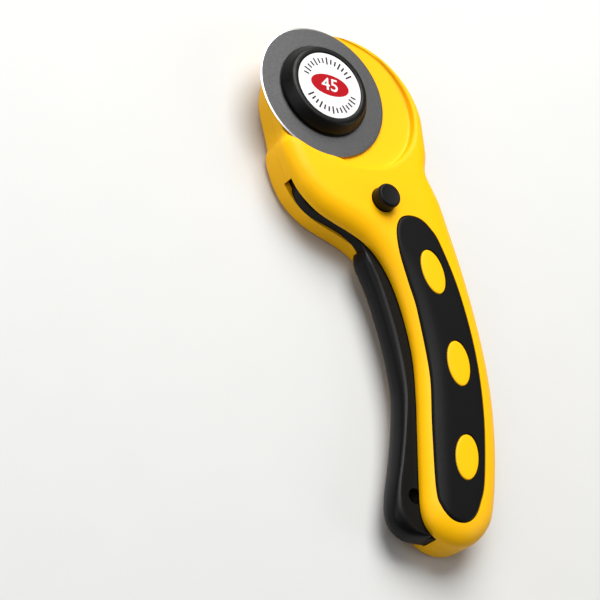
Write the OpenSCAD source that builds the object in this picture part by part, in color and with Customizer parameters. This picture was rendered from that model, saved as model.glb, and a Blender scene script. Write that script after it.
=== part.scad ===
// Rotary cutter with a squeeze lever.
// Two half shells hold a lever that swings a round blade out of its guard.
// A screw knob clamps the blade, and a sliding button locks the lever.
// Working frame: the blade's axis is x = y = 0, its front face is z = 0,
// +Y points to the head and +Z to the knob. The blade stands out of its guard.

/* [Blade and guard] */
// Diameter of the round blade
blade_d = 45; // [44:0.5:45.5]
// Thickness of the blade
blade_t = 0.3; // [0.25:0.05:0.35]
// Outside radius of the guard's round end
guard_r = 27.8; // [27.4:0.1:28.2]
// Radius of the recess that the blade swings in
recess_r = 23.2; // [23:0.1:23.6]
// Angle that the lever swings from open to closed
swing = 16.2; // [14:0.1:16.5]

/* [Shells] */
// Height of the handle's front face above the blade
face_h = 2.5; // [2.2:0.1:2.8]
// Depth of the back face below the blade
back_h = 13.5; // [13.2:0.1:15]
// Radius of the front shell's outer edge
front_edge_r = 5; // [3:0.5:5]
// Radius of the rear shell's outer edge
rear_edge_r = 4; // [3:0.5:4.5]
// Wall thickness of the shells
wall = 2; // [1.6:0.1:2.2]
// Depth of the soft grips' seats
grip_depth = 1.5; // [1:0.1:1.7]
// How far the front grip stands above its shell
grip_proud = 0.4; // [0.2:0.1:0.8]

/* [Knob] */
// Outside radius of the clamping knob
knob_r = 15.5; // [14:0.1:16]
// Height of the knob's rim above the blade
knob_h = 4.4; // [4.2:0.1:5]
// Radius of the knob's label
label_r = 11.4; // [9:0.1:12]

/* [Lock] */
// Radius of the lock button
button_r = 4; // [3.6:0.1:4.2]
// Height of the button's top above the blade
button_top = 6.6; // [6:0.1:7]
// Travel of the lock button
button_travel = 3; // [2:0.1:3]

/* [Lever] */
// Radius of the hanging hole in the lever's tail
hang_r = 2.2; // [2:0.1:3]
// Thickness of the soft pad on the lever
pad_t = 8; // [7:0.1:9]

/* [Hidden] */
$fn = 64;
cut = 0.01;                      // overrun of a cut past a face
run = 0.05;                      // radial clearance of a running fit
gap = 0.3;                       // clearance between parts that move past each other
origin = [-7.35, 62.62, back_h];  // puts the middle of the back face at the origin

yellow = "gold";
black = [0.12, 0.12, 0.13];

blade_r = blade_d / 2;
shoulder_r = 4;                  // bolt shoulder that the blade turns on
thread_r = 3;
guard_c = [9.4, -6.3];           // centre of the guard's round end
pivot = [-6.6, -35.75];
blade_arm = norm(pivot);         // distance from the pivot to the blade's axis
blade_a = atan2(-pivot.y, -pivot.x);

seam_z = -5;                     // where the two shells meet
front_rim = -2.5;                // edges of the side opening for the lever
rear_rim = -9;
head_y = -27.5;                  // upper end of the side opening
tail_y = -143.5;                 // lower end of the side opening
neck_y = -52.5;                  // above it a lip half closes the opening
neck_rim = -6.6;                 // top of that lip
floor_z = -1;                    // bottom of the blade recess
guard_back = floor_z - 2;        // inner face of the guard plate
front_in = -1.5;                 // inner face of the handle's front wall
rear_in = -back_h + wall;        // inner face of the back wall
ring_z = 0.8;                    // height of the guard's ring at the very top

arm_z = [-6.5, -3.5];            // lever arm inside the head
lever_z = [rear_rim + gap, front_rim - gap];
lock_c = [10.2, -38.1];
lock_d = lock_c - pivot;
screw_at = [[25.5, 7.5], [-11.6, 5], [29.8, -34], [33, -88], [25.4, -124.6]];
screw_r = 1.2;
screw_depth = 1.6;               // the heads' depth below the back face
boss_r = 2.8;
pin_r = 2;                       // pivot pin
bush_r = 3.2;                    // bush pressed into the lever, round the pin
lock_stem_r = 2.9;               // thin part of the lock button
lock_boss_r = 5.6;
bolt_head_r = 7;
washer_r = 7.5;
insert_r = 5.5;
wire_r = 0.45;
spring_peg = [0.7, -40.2];
spring_post = [2.3, -32.5];
hang_c = [-2.6, -131];

// Outline of both shells below the guard's round end, down the lever side and up the back
handle_pts = [[-19, -16], [-19.4, -22], [-18.7, -28], [-16.8, -34], [-12.5, -39.8],
              [-7.1, -43.8], [-2.1, -46.9], [2.6, -50.6], [6.4, -56.2], [9, -64.6],
              [10, -76], [9.3, -89], [6.5, -102], [4, -111], [-1, -129.2], [-2.5, -136],
              [-1.9, -141], [1.2, -145], [6.5, -147.5], [12.5, -147.3], [18.5, -144],
              [23, -138.5], [28.6, -125], [33, -110], [35.7, -95], [36.9, -78],
              [36.8, -60], [35.8, -40], [34.8, -33], [33.3, -27.5], [34.8, -21]];
grip_pts = [[18.3, -43.2], [14.5, -44.4], [11.9, -48.5], [10.9, -55], [11.1, -65],
            [11.5, -76], [9.9, -95], [5.3, -113], [1.2, -130.5], [1.6, -135.8],
            [4.3, -139.9], [8.2, -141.2], [12.3, -140], [16.3, -136], [20.2, -128.7],
            [26.5, -109], [29.9, -89], [30.1, -69], [27.8, -53], [25.6, -47.6],
            [22.6, -44.3]];
lever_pts = [[-16.2, -31], [-16.4, -34], [-15, -37.4], [-11.9, -40.4], [-6.5, -43.4],
             [-2.2, -46.2], [1.3, -50.2], [3, -57], [4.6, -68], [4.8, -83], [3.4, -98],
             [0, -110], [-4, -120], [-8, -129.3], [-9.6, -136], [-7.5, -141],
             [-1, -142.6], [6, -141.3], [13, -137.5], [17.5, -131], [20.5, -124],
             [22.6, -113], [23, -98], [21.5, -80], [18.5, -66], [16.2, -54],
             [16.6, -40], [14.5, -31.5], [7, -29], [-6, -28.8], [-13, -29.4]];
arm_pts = [[-15.8, -32.5], [-17.1, -28.6], [-15.4, -25], [-11.5, -19], [-9, -12],
           [-7.5, -3], [8, 0], [7.2, -10], [6, -20], [6.5, -31]];
// Cut from the lever's lower half, so that it never swings into the rear shell's lip
neck_room = [[-22, -28], [-14.3, -29.5], [-13.6, -33.5], [-12.2, -36.1], [-10.8, -37.8],
             [-9.3, -39.1], [-6.9, -40.1], [-4.6, -40.9], [-2.6, -41.4], [0.2, -41.8],
             [3, -42.5], [7.5, -43.6], [13, -46.5], [14, -52], [12, -56], [-3, -56],
             [-22, -45]];
// The pad's outer edge, and points across from them on its inner edge
pad_out = [[0.6, -51.8], [-0.4, -55], [0.3, -60], [1.4, -67.5], [1.9, -82.6], [0.6, -97.9],
           [-2.9, -110], [-6.9, -120.2], [-10.9, -129.3], [-12.7, -136.3], [-11.6, -141],
           [-8.6, -143.9], [-4.6, -144.8]];
pad_in = [[2.1, -52], [3.6, -55.5], [4.9, -60.1], [6, -67.2], [6.6, -82.4], [5.2, -96.9],
          [1.5, -108.2], [-2.5, -118.2], [-6.5, -127.3], [-8, -135], [-7.4, -138.6],
          [-5.9, -140.9], [-4, -141.9]];
// Three oval windows through each grip: centre, and angle of the long axis
ovals = [[[21.7, -62.3], -88.6], [[21.9, -92.4], -99.4], [[15.4, -122], -111.4]];
oval_half = [7.7, 4.4];

function arc(c, r, a0, a1, n) =
    [for (i = [0:n]) let (a = a0 + (a1 - a0) * i / n) c + r * [cos(a), sin(a)]];
// Catmull-Rom curve through four points, s from 0 to 1 between the middle two
function bend(a, b, c, d, s) =
    (2 * b + (c - a) * s + (2 * a - 5 * b + 4 * c - d) * s * s
     + (3 * b - a - 3 * c + d) * s * s * s) / 2;
function closed_curve(p, n) = let (m = len(p))
    [for (i = [0:m - 1], k = [0:n - 1])
        bend(p[(i + m - 1) % m], p[i], p[(i + 1) % m], p[(i + 2) % m], k / n)];
function open_curve(p, n) = let (m = len(p) - 1) concat(
    [for (i = [0:m - 1], k = [0:n - 1])
        bend(p[max(i - 1, 0)], p[i], p[i + 1], p[min(i + 2, m)], k / n)], [p[m]]);
function inward(p, i) = let (m = len(p), d = p[(i + 1) % m] - p[(i + m - 1) % m])
    [-d.y, d.x] / norm(d);
function inset(p, by) = [for (i = [0:len(p) - 1]) p[i] + by * inward(p, i)];
body_path = closed_curve(concat(arc(guard_c, guard_r, -15, 190, 14), handle_pts), 3);
grip_path = closed_curve(grip_pts, 3);
lever_path = closed_curve(lever_pts, 3);

// Solid carried up through outlines whose point i lies across from point n - 1 - i
module loft(outlines, heights) {
    n = len(outlines[0]);
    top = len(heights) - 1;
    points = [for (k = [0:top], p = outlines[k]) [p.x, p.y, heights[k]]];
    sides = [for (k = [0:top - 1], i = [0:n - 1]) let (j = (i + 1) % n)
        each [[k * n + i, (k + 1) * n + i, (k + 1) * n + j],
              [k * n + i, (k + 1) * n + j, k * n + j]]];
    ends = [for (i = [0:n / 2 - 2]) let (j = n - 1 - i, t = top * n)
        each [[i, i + 1, j - 1], [i, j - 1, j],
              [t + i, t + j - 1, t + i + 1], [t + i, t + j, t + j - 1]]];
    polyhedron(points, concat(sides, ends));
}

// Half of the handle: a rounded rim that follows the outline, filled by a flat plate
module half_shell(z0, z1, r) {
    n = len(body_path);
    rings = concat([[z0, 0]], [for (a = [0:18:90]) [z1 - r * (1 - sin(a)), r * (1 - cos(a))]],
                   [[z0, r]]);
    m = len(rings);
    polyhedron([for (g = rings, p = inset(body_path, g[1])) [p.x, p.y, g[0]]],
        [for (k = [0:m - 1], i = [0:n - 1]) let (j = (i + 1) % n, a = k * n, b = (k + 1) % m * n)
            each [[a + i, b + i, b + j], [a + i, b + j, a + j]]]);
    slab(inset(body_path, r - 0.1), z0, z1);
}

// Round wire of radius r along a path, with a flat end at each side
module wire(path, r) {
    sides = 8;
    n = len(path);
    points = [for (i = [0:n - 1]) let (
            d = path[min(i + 1, n - 1)] - path[max(i - 1, 0)],
            side = cross(d, [0, 0, 1]) / norm(cross(d, [0, 0, 1])),
            up = cross(side, d) / norm(d))
        for (k = [0:sides - 1]) path[i] + r * (cos(k * 360 / sides) * side
                                               + sin(k * 360 / sides) * up)];
    walls = [for (i = [0:n - 2], k = [0:sides - 1]) let (j = (k + 1) % sides)
        each [[i * sides + k, i * sides + j, (i + 1) * sides + j],
              [i * sides + k, (i + 1) * sides + j, (i + 1) * sides + k]]];
    polyhedron(points, concat([[for (k = [sides - 1:-1:0]) k]], walls,
                              [[for (k = [0:sides - 1]) (n - 1) * sides + k]]));
}

module rod(c, r, z0, z1) translate([c.x, c.y, z0]) cylinder(r = r, h = z1 - z0);
module slab(path, z0, z1) translate([0, 0, z0]) linear_extrude(z1 - z0) polygon(path);
module oval(o, grow, z0, z1) translate([o[0].x, o[0].y, z0]) rotate([0, 0, o[1]])
    linear_extrude(z1 - z0) polygon([for (a = [0:12:359])
        [(oval_half.x + grow) * cos(a), (oval_half.y + grow) * sin(a)]]);

// Room that a disc of radius r at radius arm needs as it swings about the pivot. The end
// discs are a hair smaller than the band between them, so that no two walls are tangent.
module swept(arm, r, a0, a1, z0, z1) translate([pivot.x, pivot.y, 0]) {
    rotate([0, 0, a0]) rotate_extrude(angle = a1 - a0)
        translate([arm - r, z0]) square([2 * r, z1 - z0]);
    for (a = [a0, a1]) rotate([0, 0, a]) rod([arm, 0], r - 0.03, z0, z1);
}

// The side opening that the lever comes out of
module lever_mouth(z0, z1)
    slab([[-30, head_y], [-10, head_y], [-2, -38], [7, -46], [13, -56], [15, -66],
          [14, -98], [9, -118], [4, -133], [3, tail_y], [-30, tail_y]], z0, z1);

module front_shell() color(yellow) difference() {
    union() {
        difference() {
            half_shell(seam_z, face_h, front_edge_r);
            slab(inset(body_path, wall), seam_z - cut, guard_back);
            intersection() {
                slab(inset(body_path, wall), seam_z - cut, front_in);
                translate([-60, head_y - 130, -20]) cube([120, 130, 40]);
            }
            // recess of the blade, and the ring that falls away to the head
            swept(blade_arm, recess_r, blade_a - swing, blade_a, floor_z, face_h + 1);
            translate([-60, head_y, face_h]) rotate([-atan((face_h - ring_z) / 49), 0, 0])
                cube([120, 80, 10]);
            slab(grip_path, face_h - grip_depth, face_h + 1);
            lever_mouth(seam_z - 1, front_rim);
        }
        for (o = ovals) oval(o, 0, face_h - grip_depth - cut, face_h + grip_proud + 0.2);
        for (c = screw_at) rod(c, boss_r, seam_z, (c.y > head_y ? guard_back : front_in) + cut);
        rod(pivot, 4, front_rim + 0.05, front_in + cut);
        rod(lock_c, lock_boss_r, front_rim + 0.1, front_in + cut);
    }
    swept(blade_arm, 7.1, blade_a - swing, blade_a, guard_back - 1, floor_z + 1);
    for (c = screw_at) rod(c, screw_r, seam_z - 1, floor_z - 0.8);
    rod(pivot, pin_r, -5, 0.5);
    rod(lock_c, button_r + run, face_h - 3.7, face_h + 1);
    rod(lock_c, lock_stem_r + run, -4, 0);
    for (s = [-1, 1]) translate([lock_c.x - 6, lock_c.y + s * lock_stem_r - 0.45, -3])
        cube([12, 0.9, 1.5]);
}

module rear_shell() color(yellow) difference() {
    union() {
        difference() {
            mirror([0, 0, 1]) half_shell(-seam_z, back_h, rear_edge_r);
            slab(inset(body_path, wall), rear_in, seam_z + 1);
            slab(grip_path, -back_h - 1, -back_h + grip_depth);
            lever_mouth(neck_rim, seam_z + 1);
            intersection() {
                lever_mouth(rear_rim, seam_z + 1);
                translate([-60, neck_y - 130, -20]) cube([120, 130, 40]);
            }
        }
        for (o = ovals) oval(o, 0, -back_h, -back_h + grip_depth + cut);
        slab(inset(grip_path, -1), rear_in - cut, rear_in + 1);
        for (c = screw_at) {
            rod(c, boss_r, rear_in - cut, seam_z);
            rod(c, boss_r + 0.8, rear_in - cut, rear_rim + 1);
        }
        rod(pivot, 3.4, rear_in - cut, rear_rim - 0.1);
        rod(spring_post, 1.1, rear_in - cut, rear_rim - 0.2);
        rod(lock_c, lock_boss_r, rear_in - cut, rear_rim - 0.1);
    }
    swept(blade_arm, 7.6, blade_a - swing, blade_a, -back_h - 1, rear_in + 1);
    for (c = screw_at) {
        rod(c, screw_r, -back_h - 1, seam_z + 1);
        rod(c, 2.5, -back_h - 1, -back_h + screw_depth + 1.3);
    }
    rod(pivot, pin_r, 1 - back_h, rear_rim);
    rod(lock_c, button_r + run, -back_h - 1, rear_rim);
}

module grip(z0, z1) color(black) difference() {
    slab(grip_path, z0, z1);
    for (o = ovals) oval(o, 0, z0 - 1, z1 + 1);
}
module front_grip() grip(face_h - grip_depth, face_h + grip_proud);
module rear_grip() grip(-back_h, -back_h + grip_depth);

// Pan-head screw, its cross slot at the back
module shell_screw(c) color("silver") difference() {
    union() {
        rod(c, 2.3, -back_h + screw_depth, -back_h + screw_depth + 1.3);
        rod(c, screw_r, -back_h + screw_depth, floor_z - 0.9);
    }
    for (a = [0, 90]) translate([c.x, c.y, -back_h + screw_depth - 1]) rotate([0, 0, a])
        translate([-1.2, -0.25, 0]) cube([2.4, 0.5, 1.8]);
}

module pivot_pin() color("silver") rod(pivot, pin_r, 1 - back_h, 0.5);

module pivot_bush() color("goldenrod") difference() {
    rod(pivot, bush_r, lever_z[0], lever_z[1]);
    rod(pivot, pin_r + run, lever_z[0] - 1, lever_z[1] + 1);
}

// Torsion spring round the pivot boss: a leg on the shell's post, one on the lever's peg
module return_spring() color("silver") {
    a1 = 38;
    turns = 1.75;
    z0 = rear_in + 0.5;
    z1 = lever_z[0] - 0.6;
    coil_r = 4.5;
    steps = 32;
    coil = [for (i = [0:steps]) let (a = a1 + 360 * turns * (1 - i / steps))
        [pivot.x + coil_r * cos(a), pivot.y + coil_r * sin(a), z0 + (z1 - z0) * i / steps]];
    a0 = a1 + 360 * turns;
    fixed_leg = [coil[0] + 9 * [-sin(a0), cos(a0), 0]];
    lever_leg = [coil[steps] + 9 * [sin(a1), -cos(a1), 0]];
    wire(concat(fixed_leg, coil, lever_leg), wire_r);
}

module lock_button() color(black) difference() {
    union() {
        rod(lock_c, button_r, face_h - 0.6, button_top);
        rod(lock_c, lock_stem_r, rear_rim - 0.3, face_h - 0.6);
        rod(lock_c, 1.5, rear_rim - 1, rear_rim);
    }
    for (z = [-2.35, -2.35 + button_travel]) translate([lock_c.x, lock_c.y, z]) difference() {
        cylinder(r = 4, h = 0.9);
        translate([0, 0, -1]) cylinder(r = 2.5, h = 3);
    }
}

module lock_tail() color(black) difference() {
    rod(lock_c, button_r, rear_rim - 1.5, rear_rim - 0.3);
    rod(lock_c, 1.5, rear_rim - 1, rear_rim);
}

// Hairpin of wire that snaps into the button's grooves
module detent_clip() color("silver") {
    z = -1.9;
    leg = 5.6;
    reach = lock_stem_r;
    wire(concat([[lock_c.x - leg, lock_c.y - reach, z]],
                [for (a = [-90:18:90])
                    [lock_c.x + leg + reach * cos(a), lock_c.y + reach * sin(a), z]],
                [[lock_c.x - leg, lock_c.y + reach, z]]), 0.35);
}

module lever() color(black) difference() {
    union() {
        slab(lever_path, lever_z[0], lever_z[1]);
        slab(arm_pts, arm_z[0], arm_z[1]);
        rod([0, 0], 8, arm_z[0], arm_z[1]);
        rod([0, 0], 6.5, arm_z[0], -blade_t - run);
        rod(pivot, 6.6, lever_z[0], lever_z[1]);
        rod(spring_peg, 1, lever_z[0] - 1.7, lever_z[0] + cut);
    }
    slab(neck_room, -12, neck_rim + gap);
    bolt_shank(-8, 1);
    rod(pivot, bush_r, -12, 1);
    swept(norm(lock_d), 3.4, atan2(lock_d.y, lock_d.x), atan2(lock_d.y, lock_d.x) + swing, -12, 1);
    rod(hang_c, hang_r, -12, 1);
}

// Soft pad on the lever's outer edge, rounded where the fingers lie
module lever_pad() color(black) difference() {
    mid = (lever_z[0] + lever_z[1]) / 2;
    outer = open_curve(pad_out, 3);
    inner = open_curve(pad_in, 3);
    last = len(outer) - 1;
    loft([for (a = [-90:22.5:90]) concat(
             [for (i = [0:last]) outer[i] + (inner[i] - outer[i]) * 0.55 * (1 - cos(a))],
             [for (i = [last:-1:0]) inner[i]])],
         [for (a = [-90:22.5:90]) mid + pad_t / 2 * sin(a)]);
    slab(lever_path, lever_z[0], lever_z[1]);
    rod(hang_c, hang_r + 0.6, -20, 5);
}

// Round shank with one flat, which keeps the bolt from turning in the lever
module bolt_shank(z0, z1) intersection() {
    rod([0, 0], shoulder_r, z0, z1);
    translate([-10, -10, z0]) cube([20, 10 + 3.2, z1 - z0]);
}

module blade_bolt() color("silver") union() {
    rod([0, 0], bolt_head_r, arm_z[0] - 2.1, arm_z[0]);
    bolt_shank(arm_z[0] - cut, -blade_t - run);
    rod([0, 0], shoulder_r - 0.02, -blade_t - run - cut, 0);
    rod([0, 0], thread_r, -cut, 3.3);
}

module blade() color([0.45, 0.45, 0.46]) rotate_extrude($fn = 120) polygon([
    [shoulder_r + run, -blade_t], [blade_r - 1.2, -blade_t], [blade_r, -blade_t / 2 - 0.02],
    [blade_r, -blade_t / 2 + 0.02], [blade_r - 1.2, 0], [shoulder_r + run, 0]]);

module wave_washer() color("silver") difference() {
    rod([0, 0], washer_r, 0.05, 0.5);
    rod([0, 0], thread_r + 0.2, -1, 1);
}

module knob() color(black) rotate_extrude($fn = 96) polygon([
    [8, 0.35], [knob_r, 0.35], [knob_r, 1], [knob_r - 1, 2.4], [knob_r - 1.4, 3.4],
    [knob_r - 2, knob_h - 0.25], [knob_r - 2.6, knob_h], [label_r + 0.1, knob_h],
    [label_r + 0.1, knob_h - 0.7], [0, knob_h - 0.7], [0, 3.5], [insert_r, 3.5],
    [insert_r, 0.6],
    [8, 0.6]]);

// Threaded insert of the knob
module nut_insert() color("goldenrod") difference() {
    rod([0, 0], insert_r, 0.6, 3.1);
    rod([0, 0], thread_r + run, 0, 4);
}

module knob_label() color("white") rod([0, 0], label_r, knob_h - 0.7, knob_h - 0.28);

translate(origin) {
    front_shell();
    rear_shell();
    front_grip();
    rear_grip();
    shell_screw(screw_at[0]);  // shell_screw_1
    shell_screw(screw_at[1]);  // shell_screw_2
    shell_screw(screw_at[2]);  // shell_screw_3
    shell_screw(screw_at[3]);  // shell_screw_4
    shell_screw(screw_at[4]);  // shell_screw_5
    pivot_pin();
    pivot_bush();
    return_spring();
    lock_button();
    lock_tail();
    detent_clip();
    lever();
    lever_pad();
    blade_bolt();
    blade();
    wave_washer();
    knob();
    nut_insert();
    knob_label();
}
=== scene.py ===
# Rotary cutter with a squeeze lever: the pieces that show, built round the CAD part's nodes.
# Plans are in millimetres with the blade's axis at x = y = 0 and its front face at z = 0,
# the head towards +Y and the knob towards +Z. inFrame() turns them into the part's metres.
import math

import bpy
import numpy as np
from mathutils import Matrix, Vector


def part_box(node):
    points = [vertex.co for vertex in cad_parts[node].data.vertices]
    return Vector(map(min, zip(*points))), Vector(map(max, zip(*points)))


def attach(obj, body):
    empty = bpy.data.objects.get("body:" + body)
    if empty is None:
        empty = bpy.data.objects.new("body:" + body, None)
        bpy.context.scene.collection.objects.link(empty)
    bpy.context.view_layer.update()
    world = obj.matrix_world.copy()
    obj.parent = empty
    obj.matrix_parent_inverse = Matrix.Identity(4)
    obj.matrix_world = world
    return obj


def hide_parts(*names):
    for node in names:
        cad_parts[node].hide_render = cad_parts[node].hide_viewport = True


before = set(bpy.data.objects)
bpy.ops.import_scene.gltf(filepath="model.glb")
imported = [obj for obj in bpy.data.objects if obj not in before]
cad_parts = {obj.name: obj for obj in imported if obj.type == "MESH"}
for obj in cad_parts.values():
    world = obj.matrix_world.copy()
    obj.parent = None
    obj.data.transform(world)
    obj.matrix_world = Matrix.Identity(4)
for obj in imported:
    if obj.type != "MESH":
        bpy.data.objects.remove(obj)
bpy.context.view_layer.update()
print("frame loaded:", len(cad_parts), "CAD nodes")

bladeLow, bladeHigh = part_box("blade")
axisPoint = np.array([(bladeLow.x + bladeHigh.x) / 2, (bladeLow.y + bladeHigh.y) / 2,
                      bladeHigh.z])


def inFrame(points):
    # blade's axis point + millimetres / 1000
    return axisPoint + np.asarray(points, float) / 1000


def arcPoints(centre, radius, fromAngle, toAngle, count):
    # centre + radius * (cos a, sin a), with a going evenly between two angles in degrees
    a = np.radians(np.linspace(fromAngle, toAngle, count))
    return np.array(centre) + radius * np.stack([np.cos(a), np.sin(a)], 1)


def curveThrough(points, perSpan, closed=True):
    # Catmull-Rom cubic through all the points: each span is
    # (2b + (c - a)s + (2a - 5b + 4c - d)s^2 + (3b - a - 3c + d)s^3) / 2, s from 0 to 1
    p = np.asarray(points, float)
    if closed:
        a, b, c, d = (np.roll(p, k, 0)[:, None] for k in (1, 0, -1, -2))
    else:
        p = np.vstack([2 * p[0] - p[1], p, 2 * p[-1] - p[-2]])
        a, b, c, d = p[:-3, None], p[1:-2, None], p[2:-1, None], p[3:, None]
    s = (np.arange(perSpan) / perSpan)[None, :, None]
    curve = (2 * b + (c - a) * s + (2 * a - 5 * b + 4 * c - d) * s ** 2
             + (3 * b - a - 3 * c + d) * s ** 3) / 2
    curve = curve.reshape(-1, p.shape[1])
    return curve if closed else np.vstack([curve, p[-2]])


def atShares(path, shares):
    # points at the given shares of the path's length, by straight lines between its points
    steps = np.linalg.norm(np.diff(path, axis=0), axis=1)
    length = np.concatenate([[0], np.cumsum(steps)])
    return np.stack([np.interp(shares * length[-1], length, path[:, k])
                     for k in range(path.shape[1])], 1)


def pairedOutline(curve, half):
    # half points down the left side and half up the right, so that point i lies across
    # from point 2 * half - 1 - i; the curve runs anticlockwise
    ring = np.roll(curve, -curve[:, 1].argmax(), 0)
    turn = ring[:, 1].argmin()
    ring = np.vstack([ring, ring[:1]])
    shares = (np.arange(half) + 0.5) / half
    return np.vstack([atShares(ring[:turn + 1], shares), atShares(ring[turn:], shares)])


def inward(outline, span):
    # unit vector at right angles to the chord between the neighbours span points away
    along = np.roll(outline, -span, 0) - np.roll(outline, span, 0)
    across = np.stack([-along[:, 1], along[:, 0]], 1)
    return across / np.linalg.norm(across, axis=1, keepdims=True)


def ovalOutline(centre, angle, halfSize, grow=0, count=64):
    # centre + an ellipse (a cos t, b sin t) turned by an angle in degrees
    t = (np.arange(count) + 0.5) * 2 * np.pi / count
    x, y = (halfSize[0] + grow) * np.cos(t), (halfSize[1] + grow) * np.sin(t)
    c, s = math.cos(math.radians(angle)), math.sin(math.radians(angle))
    return np.array(centre) + np.stack([c * x - s * y, s * x + c * y], 1)


def ease(x, start, end):
    # 0 before start and 1 after end, by 3t^2 - 2t^3 between them
    t = np.clip((x - start) / (end - start), 0, 1)
    return t * t * (3 - 2 * t)


def softened(profile, radius, closed=False, points=5):
    # each corner becomes a quadratic curve between the points a radius away on its two sides
    p = np.asarray(profile, float)
    before, after = np.roll(p, 1, 0) - p, np.roll(p, -1, 0) - p
    sizes = [np.linalg.norm(v, axis=1, keepdims=True) for v in (before, after)]
    r = np.minimum(np.broadcast_to(radius, len(p))[:, None], np.minimum(*sizes) * 0.48)
    a, b = p + before / sizes[0] * r, p + after / sizes[1] * r
    s = np.linspace(0, 1, points)[None, :, None]
    curve = (1 - s) ** 2 * a[:, None] + 2 * s * (1 - s) * p[:, None] + s ** 2 * b[:, None]
    if closed:
        return curve.reshape(-1, 2)
    return np.vstack([p[:1], curve[1:-1].reshape(-1, 2), p[-1:]])


def meshPiece(name, points, faces):
    mesh = bpy.data.meshes.new(name)
    mesh.from_pydata(inFrame(points).tolist(), [], faces)
    mesh.update()
    piece = bpy.data.objects.new(name, mesh)
    bpy.context.scene.collection.objects.link(piece)
    return piece


def gridQuads(rows, columns, closedRows=False):
    # quads between each row and the next, each row closed on itself
    j, i = np.meshgrid(np.arange(rows if closedRows else rows - 1), np.arange(columns),
                       indexing="ij")
    k, up = (i + 1) % columns, (j + 1) % rows
    return np.stack([j * columns + i, j * columns + k, up * columns + k, up * columns + i],
                    -1).reshape(-1, 4).tolist()


def stackSolid(name, rings, strips=True, closedRows=False):
    # rings of points from the underside round the rim to the top, closed by rows of quads
    # across the first and last ring, or by one flat face
    rows, columns = rings.shape[:2]
    faces = gridQuads(rows, columns, closedRows)
    last = (rows - 1) * columns
    if not closedRows and strips:
        i = np.arange(columns // 2 - 1)
        across = np.stack([i, i + 1, columns - 2 - i, columns - 1 - i], 1)
        faces += (last + across).tolist() + across[:, ::-1].tolist()
    elif not closedRows:
        faces += [list(range(last, last + columns)), list(range(columns - 1, -1, -1))]
    return meshPiece(name, rings.reshape(-1, 3), faces)


def sheetSolid(name, outline, under, over, rim=(0,), inner=(0.5, 0.9), spineEnds=(0.1, 0.9)):
    # the space between two heights over an outline. Rings step in from the outline along its
    # inward direction by the rim's distances, then go by shares towards the middle line
    half = len(outline) // 2
    normals = inward(outline, 3)
    middle = (outline[:half] + outline[::-1][:half]) / 2
    station = np.clip(np.arange(half), int(spineEnds[0] * half), int(spineEnds[1] * half))
    spine = np.vstack([middle[station], middle[station][::-1]])
    rimRings = outline + np.array(rim)[:, None, None] * normals
    innerRings = rimRings[-1] + np.array(inner)[:, None, None] * (spine - rimRings[-1])
    plan = np.concatenate([rimRings, innerRings])
    low, high = (h(plan) if callable(h) else np.full(plan.shape[:2], float(h))
                 for h in (under, over))
    bottom = np.concatenate([plan, low[..., None]], -1)[::-1]
    top = np.concatenate([plan, high[..., None]], -1)
    return stackSolid(name, np.concatenate([bottom, top]))


def profiledSolid(name, outline, profile, lift=None, strips=True, span=1):
    # a profile of (distance in, height, share of lift) carried round an outline; with a lift
    # the heights never fall from one row to the next
    profile = np.asarray(profile, float)
    plan = outline + profile[:, 0, None, None] * inward(outline, span)
    height = np.repeat(profile[:, 1, None], len(outline), 1)
    if lift is not None:
        height = height + profile[:, 2, None] * lift(plan)
        height = np.maximum.accumulate(height, 0)
        height += 0.002 * np.arange(len(profile))[:, None]
    return stackSolid(name, np.concatenate([plan, height[..., None]], -1), strips)


def turnedSolid(name, profile, centre=(0, 0), segments=96, closed=False, wave=None):
    # (r cos a, r sin a, z) about an upright axis; wave adds a height that depends on a
    profile = np.asarray(profile, float)
    a = np.arange(segments) * 2 * np.pi / segments
    r, z = profile[:, 0, None], np.repeat(profile[:, 1, None], segments, 1)
    if wave is not None:
        z = z + wave(a)
    rings = np.stack([centre[0] + r * np.cos(a), centre[1] + r * np.sin(a), z], -1)
    return stackSolid(name, rings, strips=False, closedRows=closed)


def rodSolid(name, centre, radius, low, high, segments=48):
    # a round bar between two heights
    return turnedSolid(name, [[radius, low], [radius, high]], centre, segments)


def tubeSolid(name, path, radius, sides=12):
    # circles of one radius round a path, each at right angles to it, one side kept level
    ahead = np.gradient(path, axis=0)
    level = np.cross(ahead, [0, 0, 1.0])
    level /= np.linalg.norm(level, axis=1, keepdims=True)
    rise = np.cross(level, ahead)
    rise /= np.linalg.norm(rise, axis=1, keepdims=True)
    a = np.arange(sides) * 2 * np.pi / sides
    rings = (path[:, None] + radius * (np.cos(a)[None, :, None] * level[:, None]
                                       + np.sin(a)[None, :, None] * rise[:, None]))
    return stackSolid(name, rings, strips=False)


def carve(piece, cutter, operation="DIFFERENCE"):
    # takes the cutter away from the piece, or adds it, and removes the cutter
    modifier = piece.modifiers.new("carve", "BOOLEAN")
    modifier.operation, modifier.solver, modifier.object = operation, "MANIFOLD", cutter
    graph = bpy.context.evaluated_depsgraph_get()
    mesh = bpy.data.meshes.new_from_object(piece.evaluated_get(graph))
    piece.modifiers.clear()
    old, piece.data = piece.data, mesh
    for spent in (old, cutter.data):
        bpy.data.meshes.remove(spent)
    mesh.name = piece.name
    return piece


def finished(piece, body, slot, material, *nodes, sharp=32):
    # smooth shading with hard edges kept, a material, the body the piece moves with, and the
    # CAD nodes it replaces hidden
    piece.data.shade_smooth()
    piece.data.set_sharp_from_angle(angle=math.radians(sharp))
    piece.data.materials.clear()
    piece.data.materials.append(material)
    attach(piece, body)
    if nodes:
        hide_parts(*nodes)
    return piece


def linearColour(code):
    # sRGB hex to linear: ((c + 0.055) / 1.055) ^ 2.4, or c / 12.92 when dark
    c = [int(code[k:k + 2], 16) / 255 for k in (1, 3, 5)]
    return [v / 12.92 if v <= 0.04045 else ((v + 0.055) / 1.055) ** 2.4 for v in c] + [1]


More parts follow.
